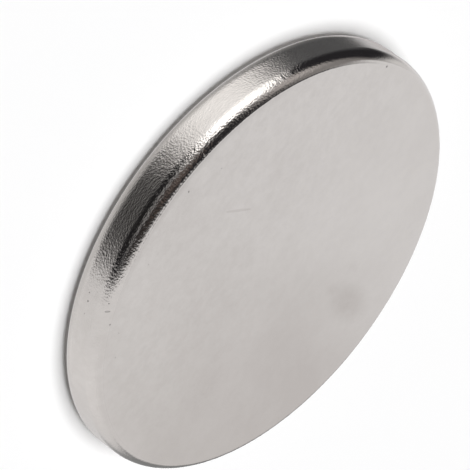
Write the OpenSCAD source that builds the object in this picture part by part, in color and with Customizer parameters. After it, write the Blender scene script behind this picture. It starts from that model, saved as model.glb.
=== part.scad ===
// Disc magnet: one sintered blank, ground flat on both pole faces, tumbled until its
// two edges are round, and then plated all over. It is a single solid of revolution.
// It rests on its lower pole face, with the centre of that face at the origin and its
// axis, which is also the direction of magnetisation, along +Z.

/* [Blank] */
// Diameter over the rim, plating included
magnet_diameter = 20; // [10:0.5:40]
// Thickness from one pole face to the other
magnet_thickness = 2; // [1.6:0.1:8]

/* [Edges] */
// How far tumbling rounds each edge in over its pole face
edge_reach_on_face = 0.45; // [0.35:0.05:0.5]
// How far it rounds each edge down the rim, which wears more than the face
edge_reach_on_rim = 0.6; // [0.5:0.05:0.75]
// Radius of the tight arc that runs into the pole face
face_arc_radius = 0.3; // [0.15:0.05:0.3]

/* [Hidden] */
$fn = 180;
nickel_plate = [0.79, 0.775, 0.765];
rim_radius = magnet_diameter / 2;
mid_height = magnet_thickness / 2;
flat_face_radius = rim_radius - edge_reach_on_face;
shoulder_height = magnet_thickness - edge_reach_on_rim;

// The wide arc that runs into the rim meets both the rim and the tight arc smoothly.
// Its radius follows from the two reaches and the tight arc.
reach_past_arc = edge_reach_on_rim - face_arc_radius;
shoulder_radius = (pow(edge_reach_on_face, 2) + pow(reach_past_arc, 2)
    - pow(face_arc_radius, 2)) / (2 * (edge_reach_on_face - face_arc_radius));
meeting_angle = atan2(reach_past_arc, shoulder_radius - edge_reach_on_face);

// The wide arc, from the rim up to where it meets the tight one.
module shoulder_arc() {
    wedge_length = 2 * shoulder_radius;

    translate([rim_radius - shoulder_radius, shoulder_height])
        intersection() {
            circle(r = shoulder_radius);
            polygon([
                [0, 0],
                [wedge_length, 0],
                [wedge_length * cos(meeting_angle), wedge_length * sin(meeting_angle)]
            ]);
        }
}

// The tight arc, from there round into the pole face.
module face_arc() {
    translate([flat_face_radius, magnet_thickness - face_arc_radius])
        circle(r = face_arc_radius);
}

// Upper half of the magnet's section on one side of the axis.
module upper_section() {
    translate([0, mid_height])
        square([flat_face_radius, mid_height]);
    translate([0, mid_height])
        square([rim_radius, shoulder_height - mid_height]);
    shoulder_arc();
    face_arc();
}

// Both halves: tumbling rounds the two edges alike.
module half_section() {
    upper_section();
    translate([0, magnet_thickness])
        mirror([0, 1])
            upper_section();
}

module disc_magnet() {
    color(nickel_plate)
        rotate_extrude()
            half_section();
}

disc_magnet();
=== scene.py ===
import math

import bmesh
import bpy
from mathutils import Matrix, Vector


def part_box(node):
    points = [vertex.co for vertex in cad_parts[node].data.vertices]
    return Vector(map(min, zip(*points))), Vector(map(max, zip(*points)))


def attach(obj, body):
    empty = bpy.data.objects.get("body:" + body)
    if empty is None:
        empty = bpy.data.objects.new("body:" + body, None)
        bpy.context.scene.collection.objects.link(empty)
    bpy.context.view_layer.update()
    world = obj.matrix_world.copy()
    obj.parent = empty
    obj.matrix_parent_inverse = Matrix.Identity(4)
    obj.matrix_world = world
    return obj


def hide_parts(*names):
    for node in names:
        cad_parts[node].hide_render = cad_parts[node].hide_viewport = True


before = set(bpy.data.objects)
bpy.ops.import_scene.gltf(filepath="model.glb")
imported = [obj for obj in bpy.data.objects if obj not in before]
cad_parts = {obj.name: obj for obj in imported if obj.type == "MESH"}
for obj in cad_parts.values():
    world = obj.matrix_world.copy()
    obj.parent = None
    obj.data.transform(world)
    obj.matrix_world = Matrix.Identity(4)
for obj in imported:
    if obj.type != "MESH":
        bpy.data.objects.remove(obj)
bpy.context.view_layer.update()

# ---------------------------------------------------------------------------
# The disc magnet: one blank of sintered neodymium-iron-boron, pressed, ground
# flat on both pole faces, tumbled with stones until its edges are round, and
# then barrel plated all over with bright nickel over copper.
# ---------------------------------------------------------------------------
MM = 0.001

# The shape is a half section turned once. Each edge of it is two arcs that meet
# smoothly: a tight one that runs into the pole face, and a wide shoulder that
# runs into the rim.
disc_low, disc_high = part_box("disc_magnet")
disc_radius = (disc_high.x - disc_low.x) / 2
disc_thickness = disc_high.z - disc_low.z
reach_on_face = 0.45 * MM  # how far tumbling has rounded the edge in over the pole face
reach_on_rim = 0.6 * MM  # and how far down the rim
tight_radius = 0.3 * MM
shoulder_radius = (reach_on_face**2 + (reach_on_rim - tight_radius) ** 2 - tight_radius**2) / (
    2 * (reach_on_face - tight_radius)
)
steps_round = 384
stretches = 5  # of the half section: face, edge, rim, edge, face
steps_each_stretch = 24
seam_gap = 0.001 * MM  # points closer than this become one, along the seam and on the axis


def worked(kind, first, second=None, clamp=False):
    """One step of arithmetic, in the node tree that its sockets belong to."""
    given = [value for value in (first, second) if isinstance(value, bpy.types.NodeSocket)]
    tree = given[0].id_data
    node = tree.nodes.new("ShaderNodeMath")
    node.operation = kind
    node.use_clamp = clamp
    for socket, value in zip(node.inputs, (first, second)):
        if value in given:
            tree.links.new(value, socket)
        elif value is not None:
            socket.default_value = value
    return node.outputs[0]


def plus(first, *others):
    for other in others:
        first = worked("ADD", first, other)
    return first


def minus(first, other):
    return worked("SUBTRACT", first, other)


def times(first, *others):
    for other in others:
        first = worked("MULTIPLY", first, other)
    return first


def turned_disc_tree():
    """Lays a sheet round the half section, closes it, and gives it its plate."""
    tree = bpy.data.node_groups.new("turned disc", "GeometryNodeTree")
    tree.interface.new_socket("Geometry", in_out="OUTPUT", socket_type="NodeSocketGeometry")
    sizes = ("Radius", "Thickness", "Reach on face", "Reach on rim", "Tight radius", "Shoulder radius")
    for name in sizes:
        tree.interface.new_socket(name, in_out="INPUT", socket_type="NodeSocketFloat")
    tree.interface.new_socket("Plate", in_out="INPUT", socket_type="NodeSocketMaterial")
    given = tree.nodes.new("NodeGroupInput").outputs
    radius, thickness, on_face, on_rim, tight, shoulder = (given[name] for name in sizes)

    # a unit sheet: one side goes once round the axis, the other along the half section
    sheet = tree.nodes.new("GeometryNodeMeshGrid")
    sheet.inputs["Size X"].default_value = 1.0
    sheet.inputs["Size Y"].default_value = 1.0
    sheet.inputs["Vertices X"].default_value = steps_round + 1
    sheet.inputs["Vertices Y"].default_value = stretches * steps_each_stretch + 1
    on_sheet = tree.nodes.new("ShaderNodeSeparateXYZ")
    tree.links.new(tree.nodes.new("GeometryNodeInputPosition").outputs[0], on_sheet.inputs[0])
    turn = times(plus(on_sheet.outputs[0], 0.5), 2 * math.pi)
    along = times(plus(on_sheet.outputs[1], 0.5), float(stretches))
    lower_face, lower_edge, rim, upper_edge, upper_face = (
        worked("SUBTRACT", along, float(start), clamp=True) for start in range(stretches)
    )

    # the surface swings from facing down to facing up, and past the meeting angle its arc is tight
    swing = times(minus(plus(lower_edge, upper_edge), 1.0), math.pi / 2)
    meet = worked("ARCTAN2", minus(on_rim, tight), minus(shoulder, on_face))
    past = worked("GREATER_THAN", worked("ABSOLUTE", swing), meet)
    arc = plus(shoulder, times(past, minus(tight, shoulder)))
    arc_centre = plus(minus(radius, shoulder), times(past, minus(shoulder, on_face)))
    half = times(thickness, 0.5)
    band = times(minus(times(rim, 2.0), 1.0), minus(half, on_rim))
    lift = times(worked("SIGN", swing), times(past, minus(on_rim, tight)))
    height = plus(plus(half, band), plus(lift, times(arc, worked("SINE", swing))))
    core = times(arc_centre, minus(lower_face, upper_face))
    out = plus(core, times(arc, worked("COSINE", swing)))
    spot = tree.nodes.new("ShaderNodeCombineXYZ")
    tree.links.new(times(out, worked("COSINE", turn)), spot.inputs[0])
    tree.links.new(times(out, worked("SINE", turn)), spot.inputs[1])
    tree.links.new(height, spot.inputs[2])

    lay = tree.nodes.new("GeometryNodeSetPosition")
    tree.links.new(sheet.outputs["Mesh"], lay.inputs["Geometry"])
    tree.links.new(spot.outputs[0], lay.inputs["Position"])
    close = tree.nodes.new("GeometryNodeMergeByDistance")
    close.inputs["Distance"].default_value = seam_gap
    smooth = tree.nodes.new("GeometryNodeSetShadeSmooth")
    realize = tree.nodes.new("GeometryNodeRealizeInstances")
    plate = tree.nodes.new("GeometryNodeSetMaterial")
    tree.links.new(given["Plate"], plate.inputs["Material"])
    chain = (lay, close, smooth, realize, plate)
    for before, after in zip(chain, chain[1:]):
        tree.links.new(before.outputs[0], after.inputs["Geometry"])
    tree.links.new(plate.outputs[0], tree.nodes.new("NodeGroupOutput").inputs[0])
    return tree


# The plate is smooth on the ground faces and finely pebbled on the tumbled rim and
# edges, where the blank's grain shows through. Pinholes, a dent, a scratch, a nick
# and three rubbed spots mark it.
nickel_colour = (0.814, 0.785, 0.761, 1.0)
nickel_dull = (0.653, 0.618, 0.592, 1.0)  # where the plate is dullest
pit_colour = (0.36, 0.345, 0.335, 1.0)

nickel_plate = bpy.data.materials.new("nickel_plate")
nickel_plate.use_nodes = True
plate_tree = nickel_plate.node_tree
plate_tree.nodes.clear()
metal = plate_tree.nodes.new("ShaderNodeBsdfPrincipled")
metal.inputs["Metallic"].default_value = 1.0
made = plate_tree.nodes.new("ShaderNodeOutputMaterial")
plate_tree.links.new(metal.outputs[0], made.inputs["Surface"])
here = plate_tree.nodes.new("ShaderNodeTexCoord").outputs["Object"]
split = plate_tree.nodes.new("ShaderNodeSeparateXYZ")
plate_tree.links.new(here, split.inputs[0])
along_x, along_y, along_z = split.outputs


def noise(size, detail=2.0, rough=0.5, place=here):
    """Soft random levels about one half, in lumps of this size."""
    node = plate_tree.nodes.new("ShaderNodeTexNoise")
    node.inputs["Scale"].default_value = 1.0 / size
    node.inputs["Detail"].default_value = detail
    node.inputs["Roughness"].default_value = rough
    plate_tree.links.new(place, node.inputs["Vector"])
    return node.outputs["Fac"]


def ramp(value, start, end, low=0.0, high=1.0):
    """Goes smoothly from low to high while the value goes from start to end."""
    node = plate_tree.nodes.new("ShaderNodeMapRange")
    node.interpolation_type = "SMOOTHSTEP"
    node.inputs["From Min"].default_value = start
    node.inputs["From Max"].default_value = end
    node.inputs["To Min"].default_value = low
    node.inputs["To Max"].default_value = high
    plate_tree.links.new(value, node.inputs["Value"])
    return node.outputs["Result"]


def stretched(by_x, by_y, by_z):
    """The place in the plate, with its three parts multiplied."""
    node = plate_tree.nodes.new("ShaderNodeVectorMath")
    node.operation = "MULTIPLY"
    node.inputs[1].default_value = (by_x, by_y, by_z)
    plate_tree.links.new(here, node.inputs[0])
    return node.outputs[0]


def from_spot(spot, place=here):
    """The distance from this spot."""
    node = plate_tree.nodes.new("ShaderNodeVectorMath")
    node.operation = "DISTANCE"
    node.inputs[1].default_value = spot
    plate_tree.links.new(place, node.inputs[0])
    return node.outputs["Value"]


def streak(start, end, half_width):
    """Near 1 along the line from start to end, and 0 past half_width from it."""
    length = math.dist(start, end)
    excess = minus(plus(from_spot(start), from_spot(end)), length)
    return ramp(excess, 0.0, 2 * half_width**2 / length, 1.0, 0.0)


def on_face(x, y):
    return (x * MM, y * MM, disc_high.z)


def on_rim(angle, height):
    """The place at this angle round the axis and this height, on the rim or the edge over it."""
    past_rim = max(height * MM - (disc_thickness - reach_on_rim), 0.0)
    out = disc_radius - shoulder_radius + math.sqrt(shoulder_radius**2 - past_rim**2)
    return (out * math.cos(math.radians(angle)), out * math.sin(math.radians(angle)), height * MM)


def blend(share, first, second):
    """From the first colour to the second, as the share goes from 0 to 1."""
    node = plate_tree.nodes.new("ShaderNodeMix")
    node.data_type = "RGBA"
    plate_tree.links.new(share, node.inputs[0])
    sides = [socket for socket in node.inputs if socket.type == "RGBA"]
    for side, colour in zip(sides, (first, second)):
        if isinstance(colour, tuple):
            side.default_value = colour
        else:
            plate_tree.links.new(colour, side)
    return next(socket for socket in node.outputs if socket.type == "RGBA")


# where the plate lies: on the ground face, on the tumbled part past it, or on the
# straight band of the rim, which keeps the coarser skin of the blank
flat_place = plate_tree.nodes.new("ShaderNodeCombineXYZ")
plate_tree.links.new(along_x, flat_place.inputs[0])
plate_tree.links.new(along_y, flat_place.inputs[1])
from_axis = plate_tree.nodes.new("ShaderNodeVectorMath")
from_axis.operation = "LENGTH"
plate_tree.links.new(flat_place.outputs[0], from_axis.inputs[0])
tumbled_from = disc_radius - 1.1 * reach_on_face
tumbled_to = disc_radius - 0.6 * reach_on_face
tumbled = ramp(from_axis.outputs["Value"], tumbled_from, tumbled_to)
coarse_half = 0.44 * MM  # half the height of the coarse band
coarse_fade = 0.07 * MM
from_middle = worked("ABSOLUTE", minus(along_z, disc_thickness / 2))
coarse = ramp(from_middle, coarse_half - coarse_fade, coarse_half + coarse_fade, 1.0, 0.0)
coarse = times(coarse, tumbled)

# marks: a short dent across the edge, pinholes with their widths, a scratch, a nick
# over the edge, and three rubbed spots with their half widths and strengths, which
# are all twice as long as they are wide
dent_depth = 0.6  # of a pinhole's
pits = times(streak(on_rim(-57.2, 1.79), on_rim(-57.6, 1.93), 0.055 * MM), dent_depth)
pinholes = [
    (on_face(-0.40, -8.90), 0.036 * MM),
    (on_face(-9.25, -2.35), 0.040 * MM),
    (on_face(6.65, -5.95), 0.022 * MM),
    (on_face(5.65, -7.75), 0.032 * MM),
    (on_face(5.75, -6.85), 0.018 * MM),
    (on_face(2.85, -8.10), 0.019 * MM),
    (on_face(-1.90, -7.95), 0.017 * MM),
    (on_rim(-57.2, 0.93), 0.042 * MM),
    (on_rim(-59.3, 0.87), 0.024 * MM),
    (on_rim(-53.8, 0.93), 0.018 * MM),
    (on_rim(-59.5, 1.83), 0.024 * MM),
]
for spot, width in pinholes:
    pits = worked("MAXIMUM", pits, ramp(from_spot(spot), width * 0.4, width * 1.5, 1.0, 0.0))
scratch = streak(on_face(-0.62, -5.75), on_face(-1.33, -4.30), 0.09 * MM)
nick = streak(on_rim(-101.4, 1.92), on_face(-1.87, -9.42), 0.03 * MM)
half_as_long = stretched(1.0, 0.5, 1.0)
rubs = [
    (on_face(-0.65, 3.33), 1.18 * MM, 1.0),
    (on_face(-0.65, 2.45), 0.40 * MM, 0.28),
    (on_face(-1.97, 2.64), 0.30 * MM, 0.25),
]
rubbed = plus(*(
    times(ramp(from_spot(spot, half_as_long), 0.0, half_width, 1.0, 0.0), strength)
    for spot, half_width, strength in rubs
))
rub_grain = 0.35 * MM
rubbed = times(rubbed, ramp(noise(rub_grain, 3.0, place=half_as_long), 0.3, 0.6, 0.8, 1.0))

# colour: faint clouds, a fine mottle that grows towards the near side, and a dulling
# that grows towards the right and the far side
cloud_size = 2.6 * MM
mottle_size = 0.45 * MM
right_far_patch = 3.4 * MM
cloud_dullness = 0.14
mottle_near, mottle_far = 0.24, 0.08  # how dull the mottle is at each side
right_far_dullness = 0.95
rub_dullness = 0.65
scratch_dullness = 0.50
clouds = ramp(noise(cloud_size, 3.0), 0.35, 0.7)
mottle = ramp(noise(mottle_size, 4.0, 0.65), 0.3, 0.7)
mottle = times(mottle, ramp(along_y, -6.0 * MM, 5.0 * MM, mottle_near, mottle_far))
# the plate darker towards the right and the far side, in lumps
right_far_dulling = times(
    ramp(along_x, -4.5 * MM, 4.5 * MM, 0.0, right_far_dullness),
    ramp(along_y, -9.0 * MM, 8.0 * MM, 0.1, 1.0),
    ramp(noise(right_far_patch), 0.25, 0.6, 0.75, 1.0),
)
dull = plus(
    times(clouds, cloud_dullness), mottle, right_far_dulling,
    times(rubbed, rub_dullness), times(scratch, scratch_dullness),
)
plate_colour = blend(pits, blend(dull, nickel_colour, nickel_dull), pit_colour)
plate_tree.links.new(plate_colour, metal.inputs["Base Color"])

# polish: bright on the face, a touch softer where tumbled, and hazy on the coarse band
haze_patch = 0.7 * MM
haze_least, haze_most = 0.075, 0.105  # on the face
tumbled_haze = 0.02
band_haze = 0.10
nick_haze = 0.6
haze = plus(ramp(noise(haze_patch, 3.0), 0.3, 0.7, haze_least, haze_most), times(nick, nick_haze))
haze = plus(haze, plus(times(tumbled, tumbled_haze), times(coarse, band_haze)))
plate_tree.links.new(haze, metal.inputs["Roughness"])

# relief: pebbles and longer swells on the rim and edges, which tumbling has left
# weaker towards the left and the right, and next to none on the face
pebble_size = 0.085 * MM
pebble_depth = 0.0130 * MM
pebble_squat = 1.5  # pebbles are this much lower than they are wide
pebble_round, pebble_sharp = 0.55, 0.60  # shares of the rounded lumps and of the pointed grains
grain_size = 0.10 * MM
swell_size = 0.42 * MM
swell_depth = 0.0045 * MM
ripple_size = 0.5 * MM
ripple_depth = 0.0005 * MM
pit_depth = 0.006 * MM
left_strength, right_strength = 0.24, 0.6
squat = stretched(1.0, 1.0, pebble_squat)
grains = plate_tree.nodes.new("ShaderNodeTexVoronoi")
grains.inputs["Scale"].default_value = 1.0 / grain_size
plate_tree.links.new(squat, grains.inputs["Vector"])
pebbles = plus(
    times(noise(pebble_size, 4.0, 0.6, squat), pebble_round),
    times(grains.outputs["Distance"], pebble_sharp),
)
relief = times(
    plus(times(pebbles, pebble_depth), times(noise(swell_size, 1.0), swell_depth)),
    tumbled,
    ramp(along_x, -9.5 * MM, -4.8 * MM, left_strength, 1.0),
    ramp(along_x, 2.5 * MM, 5.0 * MM, 1.0, right_strength),
)
relief = plus(relief, times(noise(ripple_size), ripple_depth))
relief = minus(relief, times(pits, pit_depth))
bump = plate_tree.nodes.new("ShaderNodeBump")
bump.inputs["Strength"].default_value = 1.0
bump.inputs["Distance"].default_value = 1.0
plate_tree.links.new(relief, bump.inputs["Height"])
plate_tree.links.new(bump.outputs[0], metal.inputs["Normal"])

# The turned sheet becomes a plain mesh that faces outwards, and it takes the place
# of the plain disc.
scene = bpy.context.scene
turned = turned_disc_tree()
blank = bpy.data.objects.new("blank", bpy.data.meshes.new("blank"))
scene.collection.objects.link(blank)
lathe = blank.modifiers.new("lathe", "NODES")
lathe.node_group = turned
inputs = {
    item.name: item.identifier for item in turned.interface.items_tree if item.in_out == "INPUT"
}
lathe[inputs["Radius"]] = disc_radius
lathe[inputs["Thickness"]] = disc_thickness
lathe[inputs["Reach on face"]] = reach_on_face
lathe[inputs["Reach on rim"]] = reach_on_rim
lathe[inputs["Tight radius"]] = tight_radius
lathe[inputs["Shoulder radius"]] = shoulder_radius
lathe[inputs["Plate"]] = nickel_plate
bpy.context.view_layer.update()
dressed = blank.evaluated_get(bpy.context.evaluated_depsgraph_get())
plated_mesh = bpy.data.meshes.new_from_object(dressed)
blank.modifiers.remove(lathe)
bpy.data.objects.remove(blank)

shell = bmesh.new()
shell.from_mesh(plated_mesh)
bmesh.ops.recalc_face_normals(shell, faces=shell.faces)
if shell.calc_volume(signed=True) < 0:
    bmesh.ops.reverse_faces(shell, faces=shell.faces)
shell.to_mesh(plated_mesh)
shell.free()

plated_disc = bpy.data.objects.new("plated_disc", plated_mesh)
scene.collection.objects.link(plated_disc)
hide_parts("disc_magnet")
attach(plated_disc, "root")

# ---------------------------------------------------------------------------
# The floor: a plain pale sheet of paper under the disc. It takes a soft contact
# shadow, and the plate doesn't mirror it, so the rim shows the cards instead.
# ---------------------------------------------------------------------------
floor_half = 600 * MM
floor_gap = 0.002 * MM  # under the disc
paper_white = (0.93, 0.93, 0.93, 1.0)
floor_mesh = bpy.data.meshes.new("floor")
corners = [(x * floor_half, y * floor_half) for x, y in ((-1, -1), (1, -1), (1, 1), (-1, 1))]
floor_mesh.from_pydata([(x, y, disc_low.z - floor_gap) for x, y in corners], [], [(0, 1, 2, 3)])
floor = bpy.data.objects.new("floor", floor_mesh)
scene.collection.objects.link(floor)
paper = bpy.data.materials.new("white_paper")
paper.use_nodes = True
paper_shader = paper.node_tree.nodes["Principled BSDF"]
paper_shader.inputs["Base Color"].default_value = paper_white
paper_shader.inputs["Roughness"].default_value = 0.9
paper_shader.inputs["Specular IOR Level"].default_value = 0.0
floor_mesh.materials.append(paper)
floor.visible_glossy = False

# ---------------------------------------------------------------------------
# The cards: what the plate mirrors. Each is a patch of a large shell round the
# disc, named for its direction, glowing evenly and fading out at its edges.
# They are mirrored only: they light no floor and the camera doesn't see them.
# ---------------------------------------------------------------------------
card_distance = 480 * MM  # to the first card
card_gap = 4 * MM  # each later card hangs this much further out, behind the ones before
card_steps_across = 72
card_steps_up = 48
steepest = 89.5  # degrees; no card reaches the point straight over or under the disc
warm_white = (1.0, 0.985, 0.97)
wall_white = (1.0, 0.987, 0.985)
cards_hung = []


def card(name, azimuth, elevation, fade, glow, tint=warm_white, fade_up=None, lean=0.0):
    """Hangs a card between two azimuths and two elevations, in degrees as seen from the disc.

    Azimuth is counted from +X towards +Y. The glow is half gone at these limits: it fades
    over fade degrees either side of them, or over fade_up at the top and bottom. A card
    that leans moves by that many degrees of azimuth for each degree of elevation.
    """
    fade_up = fade if fade_up is None else fade_up
    whole_turn = azimuth[1] - azimuth[0] >= 360
    a0, a1 = azimuth if whole_turn else (azimuth[0] - fade, azimuth[1] + fade)
    e0, e1 = max(elevation[0] - fade_up, -steepest), min(elevation[1] + fade_up, steepest)

    def soft(value, low, high, width):
        into = min((value - (low - width)) / (2 * width), ((high + width) - value) / (2 * width), 1.0)
        into = max(into, 0.0)
        return into * into * (3 - 2 * into)

    hung_at = card_distance + len(cards_hung) * card_gap
    spots, levels = [], []
    for j in range(card_steps_up + 1):
        e = e0 + (e1 - e0) * j / card_steps_up
        rise, level_out = math.sin(math.radians(e)), math.cos(math.radians(e))
        for i in range(card_steps_across + 1):
            a = a0 + (a1 - a0) * i / card_steps_across
            way = math.radians(a + lean * e)
            out = hung_at * level_out
            spots.append((out * math.cos(way), out * math.sin(way), hung_at * rise))
            side = 1.0 if whole_turn else soft(a, azimuth[0], azimuth[1], fade)
            levels.append(side * soft(e, elevation[0], elevation[1], fade_up))
    row = card_steps_across + 1
    quads = [
        (j * row + i, j * row + i + 1, (j + 1) * row + i + 1, (j + 1) * row + i)
        for j in range(card_steps_up) for i in range(card_steps_across)
    ]
    mesh = bpy.data.meshes.new(name)
    mesh.from_pydata(spots, [], quads)
    level = mesh.attributes.new("level", "FLOAT", "POINT")
    level.data.foreach_set("value", levels)

    glowing = bpy.data.materials.new(name)
    glowing.use_nodes = True
    tree = glowing.node_tree
    tree.nodes.clear()
    read = tree.nodes.new("ShaderNodeAttribute")
    read.attribute_name = "level"
    clear = tree.nodes.new("ShaderNodeBsdfTransparent")
    lamp = tree.nodes.new("ShaderNodeEmission")
    lamp.inputs["Color"].default_value = (*tint, 1.0)
    lamp.inputs["Strength"].default_value = glow
    mix = tree.nodes.new("ShaderNodeMixShader")
    tree.links.new(read.outputs["Fac"], mix.inputs[0])
    tree.links.new(clear.outputs[0], mix.inputs[1])
    tree.links.new(lamp.outputs[0], mix.inputs[2])
    tree.links.new(mix.outputs[0], tree.nodes.new("ShaderNodeOutputMaterial").inputs["Surface"])
    mesh.materials.append(glowing)

    patch = bpy.data.objects.new(name, mesh)
    scene.collection.objects.link(patch)
    patch.visible_camera = False
    patch.visible_diffuse = False
    patch.visible_shadow = False
    cards_hung.append(patch)


card("under_sheet", azimuth=(-180, 180), elevation=(-89, -58), fade=26, glow=0.54)
card("softbox", azimuth=(-159, -114), elevation=(-16, 30), fade=7, fade_up=10, glow=1.9)
card("softbox_spill", azimuth=(-165, -107), elevation=(-80, -12), fade=11, fade_up=10, glow=1.0)
card("light_line", azimuth=(-117, -57), elevation=(17, 25), fade=5, fade_up=6, glow=0.42)
card("light_post", azimuth=(-121, -110), elevation=(24, 50), fade=5, fade_up=8, glow=0.32)
card(
    "deep_shade", azimuth=(-99.5, -54), elevation=(-24, 6), fade=6, fade_up=6,
    glow=0.014, lean=-0.05,
)
card(
    "dark_shade", azimuth=(-84, -46), elevation=(30, 76), fade=7, fade_up=7,
    glow=0.03, tint=(1.0, 0.88, 0.82),
)
card(
    "brown_shade", azimuth=(-116, -80), elevation=(34, 72), fade=9, fade_up=7,
    glow=0.115, tint=(1.0, 0.79, 0.71),
)
card(
    "far_shade", azimuth=(53, 88), elevation=(-25, 18), fade=4.5, fade_up=6,
    glow=0.27, tint=(0.97, 0.99, 1.0),
)
card("bright_wall", azimuth=(-2, 36), elevation=(-89, 26), fade=13, glow=0.81, tint=wall_white)
card(
    "side_wall", azimuth=(-40.4, 86), elevation=(-89, 77), fade=4.5, fade_up=6,
    glow=0.745, tint=wall_white, lean=0.06,
)
card(
    "upper_wall", azimuth=(78, 93), elevation=(52, 68), fade=10, fade_up=9,
    glow=0.5, tint=wall_white,
)
card("end_glow", azimuth=(126, 135), elevation=(-6, 17), fade=5.5, fade_up=8, glow=0.70, lean=0.2)
card(
    "end_blush", azimuth=(102, 117), elevation=(-35, -25), fade=8, fade_up=5,
    glow=0.55, tint=(1.0, 0.94, 0.935),
)
card("end_dusk", azimuth=(112, 138), elevation=(-48, -39), fade=6, fade_up=5, glow=0.10)
card(
    "back_wall", azimuth=(76, 131), elevation=(-80, 36), fade=8, fade_up=2.5,
    glow=0.745, tint=(1.0, 0.99, 0.995), lean=0.12,
)
card("near_back", azimuth=(108, 124), elevation=(34, 41), fade=8, fade_up=4, glow=0.50)
card(
    "far_side", azimuth=(169, 206), elevation=(23, 49), fade=12, fade_up=5,
    glow=0.46, tint=(1.0, 0.94, 0.91),
)
card(
    "far_top", azimuth=(112, 194), elevation=(21, 57), fade=7, fade_up=6,
    glow=0.23, tint=(1.0, 0.95, 0.92),
)
card(
    "far_dusk", azimuth=(138, 196), elevation=(-60, -23), fade=8, fade_up=12,
    glow=0.095, tint=(0.97, 0.98, 1.0),
)
card("table_edge", azimuth=(-180, 180), elevation=(-60, -28.5), fade=9, fade_up=7, glow=0.093)

# ---------------------------------------------------------------------------
# The light: one wide overhead box over the floor, for the soft shadow, and a
# dim even room.
# ---------------------------------------------------------------------------
overhead_width = 500 * MM
overhead_height = 550 * MM
overhead_watts = 3.75
room_glow = (0.021, 0.020, 0.022, 1.0)
overhead = bpy.data.lights.new("overhead_box", "AREA")
overhead.shape = "DISK"
overhead.size = overhead_width
overhead.energy = overhead_watts
overhead_box = bpy.data.objects.new("overhead_box", overhead)
overhead_box.location = (0.0, 0.0, overhead_height)
overhead_box.visible_glossy = False
overhead_box.visible_camera = False
scene.collection.objects.link(overhead_box)

room = bpy.data.worlds.new("room")
room.use_nodes = True
room_shader = room.node_tree.nodes["Background"]
room_shader.inputs["Color"].default_value = room_glow
room_shader.inputs["Strength"].default_value = 1.0
scene.world = room

# ---------------------------------------------------------------------------
# The camera: a long lens, looking down on the disc from about 30 degrees and
# rolled over, so that the disc seems to lean to the lower right.
# ---------------------------------------------------------------------------
camera_distance = 162.6 * MM  # from the middle of the pole face
camera_elevation = math.radians(30.25)
camera_roll = math.radians(126.29)
lens_length = 303.4  # in millimetres, as the next one
sensor_width = 36.0
aim = Vector((-0.106 * MM, -2.413 * MM, 0.976 * MM))
face_middle = Vector((0, 0, disc_high.z))
way_out = Vector((0, -math.cos(camera_elevation), math.sin(camera_elevation)))
stand = face_middle + camera_distance * way_out
look = (aim - stand).to_track_quat("-Z", "Y").to_matrix()
rolled = look @ Matrix.Rotation(camera_roll, 3, "Z")
lens = bpy.data.cameras.new("camera")
lens.lens = lens_length
lens.sensor_width = sensor_width
lens.clip_start = 0.01
lens.clip_end = 10.0
camera = bpy.data.objects.new("camera", lens)
camera.matrix_world = Matrix.Translation(stand) @ rolled.to_4x4()
scene.collection.objects.link(camera)
scene.camera = camera
scene.view_settings.view_transform = "Standard"
scene.view_settings.look = "None"
